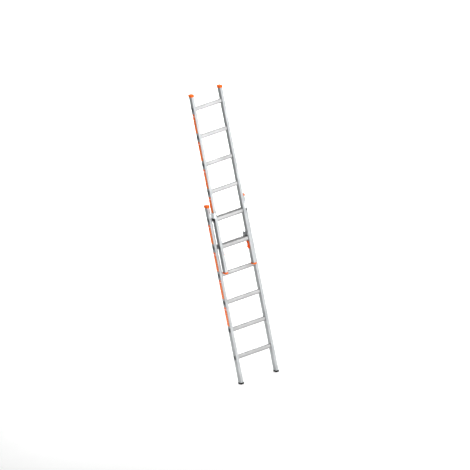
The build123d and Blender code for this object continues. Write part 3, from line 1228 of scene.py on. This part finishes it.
@dataclass
class MouldedCaps:
    """Orange caps on the stile tops and on the fly's lower ends: crowned and lipped."""

    finishes: Finishes
    roof: float = 5.0
    stile_corner: float = 3.0
    stile_wall: float = 1.8
    plug_gap: float = 0.3
    plug_wall: float = 2.4
    plug_reach: float = 14.0
    crown: float = 3.2
    lip: float = 3.0
    corner_steps: int = 6

    def ring(self, width: float, depth: float, grow: float, corner: float) -> list[Point]:
        """Rounded rectangle with the same number of points at any size.

        Args:
            width: Width of the stile, in millimetres.
            depth: Depth of the stile.
            grow: How far the outline is outside the stile's faces.
            corner: Radius of its corners.

        Returns:
            Points round the outline, anticlockwise.
        """
        half_x, half_y = width / 2 + grow, depth / 2 + grow
        radius = max(0.05, min(corner, half_x - 0.01, half_y - 0.01))
        points = []
        quarters = ((1, 1, 0.0), (-1, 1, 0.5), (-1, -1, 1.0), (1, -1, 1.5))
        for sign_x, sign_y, start in quarters:
            for step in range(self.corner_steps + 1):
                turn = math.pi * (start + 0.5 * step / self.corner_steps)
                x = sign_x * (half_x - radius) + radius * math.cos(turn)
                y = sign_y * (half_y - radius) + radius * math.sin(turn)
                points.append((x, y))
        return points

    def levels(self, roof: float, height: float, wall: float) -> list[tuple[float, float, float]]:
        """Rings of the cap from the middle of its crown, round its skirt, to its plug.

        Args:
            roof: Thickness over the end of the stile, in millimetres.
            height: Height of the whole skirt.
            wall: Thickness of the skirt.

        Returns:
            Outline growth, distance below the crown and corner radius of each ring.
        """
        corner = self.stile_corner + wall
        rounded = [
            (wall - 6.5, 0.0, 2.0),
            (wall - 4.0, 0.35, 3.0),
            (wall - 2.2, 1.0, 4.0),
            (wall - 1.0, 2.0, 5.0),
            (wall - 0.35, self.crown, corner),
        ]
        skirt = [
            (wall - 0.5, height - self.lip - 0.5, corner),
            (wall - 0.1, height - self.lip, corner),
            (wall, height - self.lip + 0.6, corner),
            (wall, height - 0.5, corner),
            (wall - 0.5, height, corner),
            (0.2, height, 3.1),
        ]
        plug = -self.stile_wall - self.plug_gap
        foot = height + self.plug_reach
        inside = [
            (0.1, height - 0.2, 3.0),
            (0.1, roof, 3.0),
            (plug, roof, 2.0),
            (plug, foot, 2.0),
            (plug - self.plug_wall, foot, 1.0),
            (plug - self.plug_wall, roof, 1.0),
        ]
        return rounded + skirt + inside

    def build_one(self, node: str, stile: str, top: bool, roof: float) -> bpy.types.Object:
        """Loft one cap over the end of its stile.

        Args:
            node: CAD node that the cap stands for.
            stile: CAD node of the stile that it closes.
            top: Whether it closes the upper end.
            roof: Thickness over the end of the stile, in millimetres.

        Returns:
            The finished cap.
        """
        low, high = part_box(node)
        stile_low, stile_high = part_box(stile)
        middle = (stile_low + stile_high) / 2
        width = (stile_high.x - stile_low.x) / MM
        depth = (stile_high.y - stile_low.y) / MM
        height = (high.z - low.z) / MM - self.plug_reach
        wall = ((high.x - low.x) / MM - width) / 2
        crest, down = (high.z, -1) if top else (low.z, 1)
        shell = bmesh.new()
        rings = []
        for grow, below, corner in self.levels(roof, height, wall):
            rings.append(
                [
                    shell.verts.new(
                        (middle.x + x * MM, middle.y + y * MM, crest + down * below * MM)
                    )
                    for x, y in self.ring(width, depth, grow, corner)
                ]
            )
        for upper, lower in zip(rings, rings[1:]):
            for i, vertex in enumerate(upper):
                after = (i + 1) % len(upper)
                shell.faces.new((vertex, upper[after], lower[after], lower[i]))
        shell.faces.new(rings[0])
        shell.faces.new(rings[-1])
        bmesh.ops.recalc_face_normals(shell, faces=shell.faces)
        for face in shell.faces:
            face.smooth = True
        mesh = bpy.data.meshes.new(f"{node}_moulding")
        shell.to_mesh(mesh)
        shell.free()
        mesh.materials.append(self.finishes.cap)
        piece = new_mesh_object(f"{node}_moulding", mesh)
        keep_edges(mesh, math.radians(CORNER_ANGLE))
        return hand_over(piece, node.split("_")[0], Slot.CAP, node)

    def build(self) -> None:
        """Build the four top caps and the fly's two lower ones."""
        for side in Side:
            for section in Section:
                stile = f"{section.value}_stile_{side.label}"
                self.build_one(f"{section.value}_cap_{side.label}", stile, True, self.roof)
            lower = f"fly_foot_{side.label}"
            foot_low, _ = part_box(lower)
            stile_low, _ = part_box(f"fly_stile_{side.label}")
            sole = (stile_low.z - foot_low.z) / MM
            self.build_one(lower, f"fly_stile_{side.label}", False, sole)


def join_meshes(kept: bpy.types.Object, spent: bpy.types.Object) -> None:
    """Add one object's mesh to another's, and remove the first.

    Args:
        kept: Object that holds both meshes at the end.
        spent: Object that goes, with the same materials.
    """
    shell = bmesh.new()
    shell.from_mesh(kept.data)
    shell.from_mesh(spent.data)
    shell.to_mesh(kept.data)
    shell.free()
    bpy.data.objects.remove(spent)


def keep_edges(mesh: bpy.types.Mesh, limit: float) -> None:
    """Shade a mesh smooth, with its sharper corners kept crisp.

    Args:
        mesh: Mesh to shade.
        limit: Smallest angle between two faces that stays sharp, in radians.
    """
    shell = bmesh.new()
    shell.from_mesh(mesh)
    for face in shell.faces:
        face.smooth = True
    for edge in shell.edges:
        edge.smooth = len(edge.link_faces) != 2 or edge.calc_face_angle(0.0) < limit
    shell.to_mesh(mesh)
    shell.free()


def softened_copy(
    node: str, name: str, edge: float, finish: bpy.types.Material
) -> bpy.types.Object:
    """Copy a CAD node as clean flat faces with rounded edges.

    Args:
        node: CAD node to copy.
        name: Name of the new piece.
        edge: Radius that its edges get, in millimetres.
        finish: Material of the piece.

    Returns:
        The new object, with its bevels made real.
    """
    shell = bmesh.new()
    shell.from_mesh(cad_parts[node].data)
    bmesh.ops.remove_doubles(shell, verts=shell.verts, dist=WELD_GAP * MM)
    bmesh.ops.dissolve_limit(
        shell, angle_limit=math.radians(FLAT_ANGLE), verts=shell.verts, edges=shell.edges
    )
    bmesh.ops.recalc_face_normals(shell, faces=shell.faces)
    mesh = bpy.data.meshes.new(name)
    shell.to_mesh(mesh)
    shell.free()
    mesh.materials.append(finish)
    piece = new_mesh_object(name, mesh)
    soft = piece.modifiers.new("Soft edges", "BEVEL")
    soft.width = edge * MM
    soft.segments = 2
    soft.limit_method = "ANGLE"
    soft.angle_limit = math.radians(CORNER_ANGLE)
    settle(piece)
    keep_edges(piece.data, math.radians(32))
    return piece


@dataclass
class RubberFeet:
    """Black grooved rubber feet of the base, as they are in CAD."""

    finishes: Finishes

    def build(self) -> None:
        """Dress both feet."""
        for side in Side:
            dress_node(f"base_foot_{side.label}", self.finishes.rubber)


@dataclass
class Guides:
    """Straps and glide blocks that hold the fly to the top of the base."""

    finishes: Finishes
    tool: NodeTool
    strap_thickness: float = 3.0
    strap_bend: float = 5.5
    strap_edge: float = 0.6
    block_edge: float = 0.9

    def build_strap(self, side: Side) -> bpy.types.Object:
        """Bend one strap from the base stile's face round the fly stile.

        Args:
            side: Side of the ladder.

        Returns:
            The finished strap.
        """
        node = f"guide_strap_{side.label}"
        name = f"{node}_strip"
        low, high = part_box(node)
        block_low, block_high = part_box(f"guide_block_{side.label}")
        half = self.strap_thickness * MM / 2
        widest = max(abs(low.x), abs(high.x))
        narrowest = min(abs(low.x), abs(high.x))
        beside = max(abs(block_low.x), abs(block_high.x)) - half
        middle = (low.z + high.z) / 2
        corners = (
            (widest, high.y - half),
            (beside, high.y - half),
            (beside, low.y + half),
            (narrowest, low.y + half),
        )
        points = [Vector((side.value * x, y, middle)) for x, y in corners]
        line = mesh_from(name, points, [(0, 1), (1, 2), (2, 3)])
        piece = self.tool.run(
            new_mesh_object(name, line),
            thickness=2 * half,
            height=high.z - low.z,
            bend_radius=self.strap_bend * MM,
            edge_radius=self.strap_edge * MM,
            finish=self.finishes.strap,
        )
        shell = bmesh.new()
        shell.from_mesh(piece.data)
        bmesh.ops.remove_doubles(shell, verts=shell.verts, dist=WELD_GAP * MM)
        bmesh.ops.recalc_face_normals(shell, faces=shell.faces)
        shell.to_mesh(piece.data)
        shell.free()
        keep_edges(piece.data, math.radians(50))
        return hand_over(piece, Section.BASE.value, Slot.STRAP, node)

    def build(self) -> None:
        """Build both straps and both glide blocks."""
        for side in Side:
            self.build_strap(side)
            node = f"guide_block_{side.label}"
            block = softened_copy(node, f"{node}_moulding", self.block_edge, self.finishes.glide)
            hand_over(block, Section.BASE.value, Slot.GLIDE, node)


@dataclass
class HooksAndLatches:
    """Plate hooks over the base rung, and the sprung latches under it."""

    finishes: Finishes
    hook_edge: float = 0.7
    latch_edge: float = 0.8

    def build(self) -> None:
        """Round the edges of each plate and lever, and dress the pivot pins."""
        for side in Side:
            hook = softened_copy(
                f"hook_{side.label}", f"hook_{side.label}_plate", self.hook_edge, self.finishes.hook
            )
            hand_over(hook, Section.FLY.value, Slot.HOOK, f"hook_{side.label}")
            body = f"latch_{side.label}"
            latch = softened_copy(body, f"{body}_lever", self.latch_edge, self.finishes.latch)
            hand_over(latch, body, Slot.LATCH, body)
            dress_node(f"latch_pin_{side.label}", self.finishes.rivet)


@dataclass
class LatchSprings:
    """Torsion springs wound round the latch bosses."""

    finishes: Finishes
    tool: NodeTool
    wire: float = 0.5
    radius: float = 5.4
    turns: float = 1.5
    leg: float = 13.0
    steps_a_turn: int = 28

    def build_one(self, side: Side) -> bpy.types.Object:
        """Wind one spring where its CAD node is.

        Args:
            side: Side of the ladder.

        Returns:
            The finished spring.
        """
        node = f"latch_spring_{side.label}"
        low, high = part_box(node)
        pin_low, pin_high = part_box(f"latch_pin_{side.label}")
        centre = (pin_low + pin_high) / 2
        near, far = (high.x, low.x) if side is Side.RIGHT else (low.x, high.x)
        start, end = near - side.value * self.wire * MM, far + side.value * self.wire * MM
        steps = int(self.steps_a_turn * self.turns)
        coil = []
        for step in range(steps + 1):
            share = step / steps
            turn = 2 * math.pi * self.turns * share
            coil.append(
                Vector(
                    (
                        start + (end - start) * share,
                        centre.y + self.radius * MM * math.cos(turn),
                        centre.z - self.radius * MM * math.sin(turn),
                    )
                )
            )
        first = (coil[0] - coil[1]).normalized() * self.leg * MM
        last = (coil[-1] - coil[-2]).normalized() * self.leg * MM
        points = [coil[0] + first, *coil, coil[-1] + last]
        line = mesh_from(node, points, [(i, i + 1) for i in range(len(points) - 1)])
        piece = self.tool.run(
            new_mesh_object(f"{node}_wire", line), radius=self.wire * MM, finish=self.finishes.wire
        )
        return hand_over(piece, Section.FLY.value, Slot.SPRING, node)

    def build(self) -> None:
        """Wind both springs."""
        for side in Side:
            self.build_one(side)


@dataclass(frozen=True)
class RivetShape:
    """Sizes of one kind of rivet, in millimetres."""

    grip: float
    tailed: bool = True
    head: float = 4.6
    dome: float = 1.8
    shank: float = 2.4
    tail: float = 3.3
    tail_length: float = 4.0
    tail_taper: float = 1.1
    pit: float = 1.3
    pit_depth: float = 0.9
    dome_steps: int = 6
    faces_round: int = 24

    def half_section(self) -> list[Point]:
        """Half outline from the pit in the head, over its dome and down to the tail.

        Returns:
            Pairs of distance from the axis and height above the seat.
        """
        curve = (self.head**2 + self.dome**2) / (2 * self.dome)
        points = [(0.0, self.dome - self.pit_depth), (self.pit, self.dome - self.pit_depth)]
        rim = self.pit * 1.2
        for step in range(self.dome_steps + 1):
            across = rim + (self.head - rim) * step / self.dome_steps
            rise = math.sqrt(curve**2 - across**2) - (curve - self.dome)
            points.append((across, max(rise, 0.0)))
        points += [(self.shank, 0.0), (self.shank, -self.grip)]
        end = -self.grip
        if self.tailed:
            end -= self.tail_length
            points += [
                (self.tail, -self.grip),
                (self.tail, end + self.tail_taper),
                (self.tail - self.tail_taper, end),
            ]
        return points + [(0.0, end)]

    def turned(self) -> bpy.types.Object:
        """Turn the rivet about Z, with the underside of its head at the origin.

        Returns:
            Helper object that is placed and then removed.
        """
        shell = bmesh.new()
        line = [shell.verts.new((x * MM, 0.0, z * MM)) for x, z in self.half_section()]
        edges = [shell.edges.new(pair) for pair in zip(line, line[1:])]
        bmesh.ops.spin(
            shell, geom=line + edges, cent=(0, 0, 0), axis=(0, 0, 1),
            angle=2 * math.pi, steps=self.faces_round, use_merge=True,
        )
        bmesh.ops.remove_doubles(shell, verts=shell.verts, dist=0.01 * MM)
        bmesh.ops.recalc_face_normals(shell, faces=shell.faces)
        mesh = bpy.data.meshes.new("rivet")
        shell.to_mesh(mesh)
        shell.free()
        keep_edges(mesh, math.radians(38))
        return new_mesh_object("rivet", mesh)


@dataclass
class Rivets:
    """Domed blind rivets, each with the pit that its broken stem leaves, and the block studs."""

    finishes: Finishes
    tool: NodeTool
    flange_rivet: RivetShape = RivetShape(grip=4.8)
    block_stud: RivetShape = RivetShape(grip=5.4, tailed=False)
    plate_rivet: RivetShape = RivetShape(grip=5.8)
    strap_thickness: float = 3.0
    flange_inset: float = 10.0
    flange_heights: Point = (12.0, 38.0)
    plate_below_crown: float = 15.0
    plate_rivets_back: Point = (8.0, 32.0)

    def place(
        self, name: str, shape: RivetShape, seats: list[tuple[Vector, Vector]]
    ) -> bpy.types.Object:
        """Set a rivet at each point.

        Args:
            name: Name of the piece.
            shape: Kind of rivet.
            seats: Where each head sits and the way that it faces.

        Returns:
            The set, not yet handed over.
        """
        points = mesh_from(name, [seat for seat, _ in seats])
        facing = points.attributes.new("outward", "FLOAT_VECTOR", "POINT")
        facing.data.foreach_set("vector", [value for _, way in seats for value in way])
        turned = shape.turned()
        piece = self.tool.run(
            new_mesh_object(name, points), fastener=turned, finish=self.finishes.rivet
        )
        bpy.data.objects.remove(turned)
        return piece

    def guide_seats(self, side: Side) -> tuple[list, list]:
        """Seats of one strap's flange rivets, and of the stud in its block.

        Args:
            side: Side of the ladder.

        Returns:
            Seats of the rivets and seats of the stud.
        """
        stile_low, stile_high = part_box(f"base_stile_{side.label}")
        low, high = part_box(f"guide_strap_{side.label}")
        block_low, block_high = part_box(f"guide_block_{side.label}")
        x = side.value * (min(abs(stile_low.x), abs(stile_high.x)) + self.flange_inset * MM)
        y = high.y - self.strap_thickness * MM
        forward, sideways = Vector((0, -1, 0)), Vector((side.value, 0, 0))
        rivets = [(Vector((x, y, low.z + up * MM)), forward) for up in self.flange_heights]
        outside = side.value * max(abs(block_low.x), abs(block_high.x))
        middle = Vector((outside, (block_low.y + block_high.y) / 2, (low.z + high.z) / 2))
        return rivets, [(middle, sideways)]

    def plate_seats(self, side: Side) -> list[tuple[Vector, Vector]]:
        """Seats of one hook's rivets.

        Args:
            side: Side of the ladder.

        Returns:
            Where each head sits and the way that it faces.
        """
        low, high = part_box(f"hook_{side.label}")
        inner = low.x if side is Side.RIGHT else high.x
        height = high.z - self.plate_below_crown * MM
        inward = Vector((-side.value, 0, 0))
        return [
            (Vector((inner, low.y + back * MM, height)), inward) for back in self.plate_rivets_back
        ]

    def build(self) -> None:
        """Set the straps' rivets and studs, and the hooks' rivets."""
        flange, studs, plate = [], [], []
        for side in Side:
            rivets, stud = self.guide_seats(side)
            flange += rivets
            studs += stud
            plate += self.plate_seats(side)
        guide_set = self.place("guide_rivets", self.flange_rivet, flange)
        stud_set = self.place("guide_studs", self.block_stud, studs)
        join_meshes(guide_set, stud_set)
        names = [f"guide_rivets_{side.label}" for side in Side]
        hand_over(guide_set, Section.BASE.value, Slot.RIVET, *names)
        names = [f"hook_rivets_{side.label}" for side in Side]
        plate_set = self.place("hook_rivets", self.plate_rivet, plate)
        hand_over(plate_set, Section.FLY.value, Slot.RIVET, *names)


@dataclass
class Labels:
    """Printed labels on the left stiles' outer faces, below four rungs of each section."""

    finishes: Finishes
    rungs: tuple[int, ...] = (3, 4, 5, 6)
    corner: float = 4.0
    corner_steps: int = 6
    film_edge: float = 0.1

    def outline(self, width: float, length: float, inset: float) -> list[Point]:
        """Rounded outline of a label, across and down from its top corner.

        Args:
            width: Width of the label, in millimetres.
            length: Its length.
            inset: How far the outline is inside the label's edge.

        Returns:
            Points round the label.
        """
        radius = self.corner - inset
        points = []
        centres = (
            (width - self.corner, length - self.corner),
            (self.corner, length - self.corner),
            (self.corner, self.corner),
            (width - self.corner, self.corner),
        )
        for quarter, (across, down) in enumerate(centres):
            for step in range(self.corner_steps + 1):
                turn = math.pi / 2 * (quarter + step / self.corner_steps)
                points.append((across + radius * math.cos(turn), down + radius * math.sin(turn)))
        return points

    def build_set(self, section: Section) -> bpy.types.Object:
        """Lay the labels of one section on its stile.

        Args:
            section: Section of the ladder.

        Returns:
            The labels as one piece, with their print in the UV map.
        """
        points, faces, prints = [], [], []
        for number in self.rungs:
            low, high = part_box(f"{section.value}_label_{number}")
            width, length = (high.y - low.y) / MM, (high.z - low.z) / MM
            start = len(points)
            layers = ((high.x, 0.0), (low.x + self.film_edge * MM, 0.0), (low.x, self.film_edge))
            for x, inset in layers:
                for across, down in self.outline(width, length, inset):
                    points.append(Vector((x, high.y - across * MM, high.z - down * MM)))
                    prints.append((across, down))
            ring = (self.corner_steps + 1) * 4
            for layer in range(2):
                for i in range(ring):
                    after = (i + 1) % ring
                    near, far = start + layer * ring, start + (layer + 1) * ring
                    faces.append((near + i, near + after, far + after, far + i))
            faces.append(tuple(start + i for i in range(ring)))
            faces.append(tuple(start + 2 * ring + i for i in range(ring)))
        name = f"{section.value}_labels"
        mesh = mesh_from(name, points, faces=faces)
        print_map = mesh.uv_layers.new(name="print")
        for loop in mesh.loops:
            print_map.data[loop.index].uv = prints[loop.vertex_index]
        shell = bmesh.new()
        shell.from_mesh(mesh)
        bmesh.ops.recalc_face_normals(shell, faces=shell.faces)
        shell.to_mesh(mesh)
        shell.free()
        mesh.materials.append(self.finishes.label)
        piece = new_mesh_object(name, mesh)
        nodes = [f"{section.value}_label_{number}" for number in self.rungs]
        return hand_over(piece, section.value, Slot.LABEL, *nodes)

    def build(self) -> None:
        """Lay the labels of both sections."""
        for section in Section:
            self.build_set(section)


@dataclass
class Studio:
    """Pale floor, soft lights and a long lens, seen from the climber's left."""

    finishes: Finishes
    floor_reach: float = 60.0
    azimuth: float = -27.52
    elevation: float = 15.87
    roll: float = -10.99
    distance: float = 150.0
    view_width: float = 4.524
    aim: tuple[float, float, float] = (0.0221, -0.0161, 1.4564)
    sensor: float = 36.0
    surround_strength: float = 0.62

    def build_floor(self) -> None:
        """Lay the floor under the ladder's feet."""
        reach = self.floor_reach
        signs = ((-1, -1), (1, -1), (1, 1), (-1, 1))
        corners = [Vector((x * reach, y * reach, 0)) for x, y in signs]
        mesh = mesh_from("floor", corners, faces=[(0, 1, 2, 3)])
        mesh.materials.append(self.finishes.floor)
        new_mesh_object("floor", mesh)

    def soft_light(
        self, name: str, place: Sequence[float], towards: Sequence[float],
        size: tuple[float, float], power: float, spread: float = 180.0,
    ) -> None:
        """Hang one soft box.

        Args:
            name: Name of the light.
            place: Where its middle is, in metres.
            towards: Point that it faces.
            size: Width and height.
            power: Power in watts.
            spread: How wide its grid lets the light out, in degrees.
        """
        lamp = bpy.data.lights.new(name, "AREA")
        lamp.shape = "RECTANGLE"
        lamp.size, lamp.size_y = size
        lamp.energy = power
        lamp.spread = math.radians(spread)
        box = bpy.data.objects.new(name, lamp)
        bpy.context.scene.collection.objects.link(box)
        box.location = place
        facing = Vector(towards) - Vector(place)
        box.rotation_mode = "QUATERNION"
        box.rotation_quaternion = facing.to_track_quat("-Z", "Y")
        box.visible_camera = False

    def build_lights(self) -> None:
        """Light the front from the right, the treads from above and the floor evenly."""
        world = bpy.data.worlds.new("studio")
        bpy.context.scene.world = world
        world.use_nodes = True
        surround = world.node_tree.nodes["Background"]
        surround.inputs["Color"].default_value = linear("#F4F5F6")
        surround.inputs["Strength"].default_value = self.surround_strength
        self.soft_light(
            "key", place=(1.2, -6.0, 1.7), towards=(0, 0, 1.3), size=(4.0, 3.4), power=275
        )
        self.soft_light(
            "top", place=(0.6, 1.0, 6.5), towards=(0.4, 0.6, 0), size=(5.0, 5.0), power=100,
            spread=70,
        )
        self.soft_light(
            "rear_floor", place=(5.5, 9.0, 7.0), towards=(5.5, 9.0, 0), size=(9.0, 12.0),
            power=900, spread=60,
        )

    def build_camera(self) -> None:
        """Set the camera at its angle, far enough back to keep lines parallel."""
        lens = bpy.data.cameras.new("camera")
        lens.sensor_width = self.sensor
        lens.lens = self.sensor * self.distance / self.view_width
        lens.clip_start, lens.clip_end = 1.0, self.distance + 2 * self.floor_reach
        camera = bpy.data.objects.new("camera", lens)
        bpy.context.scene.collection.objects.link(camera)
        turn, lift = math.radians(self.azimuth), math.radians(self.elevation)
        back = Vector((
            math.sin(turn) * math.cos(lift), -math.cos(turn) * math.cos(lift), math.sin(lift)
        ))
        level = Vector((math.cos(turn), math.sin(turn), 0))
        right = Matrix.Rotation(math.radians(self.roll), 3, back) @ level
        up = back.cross(right)
        place = Vector(self.aim) + back * self.distance
        camera.matrix_world = Matrix((
            (right.x, up.x, back.x, place.x),
            (right.y, up.y, back.y, place.y),
            (right.z, up.z, back.z, place.z),
            (0, 0, 0, 1),
        ))
        bpy.context.scene.camera = camera

    def build(self) -> None:
        """Build the floor, the lights and the camera, with plain colour handling."""
        self.build_floor()
        self.build_lights()
        self.build_camera()
        bpy.context.scene.view_settings.view_transform = "Standard"


def main() -> None:
    """Build and dress every sub-assembly in order, then the studio."""
    logging.basicConfig(level=logging.INFO, format="%(name)s: %(message)s")
    finishes = Finishes.make()
    Stiles(finishes).build()
    swept = rung_tool()
    for section in Section:
        RungSet(section, finishes, swept).build()
    MouldedCaps(finishes).build()
    RubberFeet(finishes).build()
    Guides(finishes, strip_tool()).build()
    HooksAndLatches(finishes).build()
    LatchSprings(finishes, wire_tool()).build()
    Rivets(finishes, fastener_tool()).build()
    Labels(finishes).build()
    Studio(finishes).build()


if __name__ == "__main__":
    main()
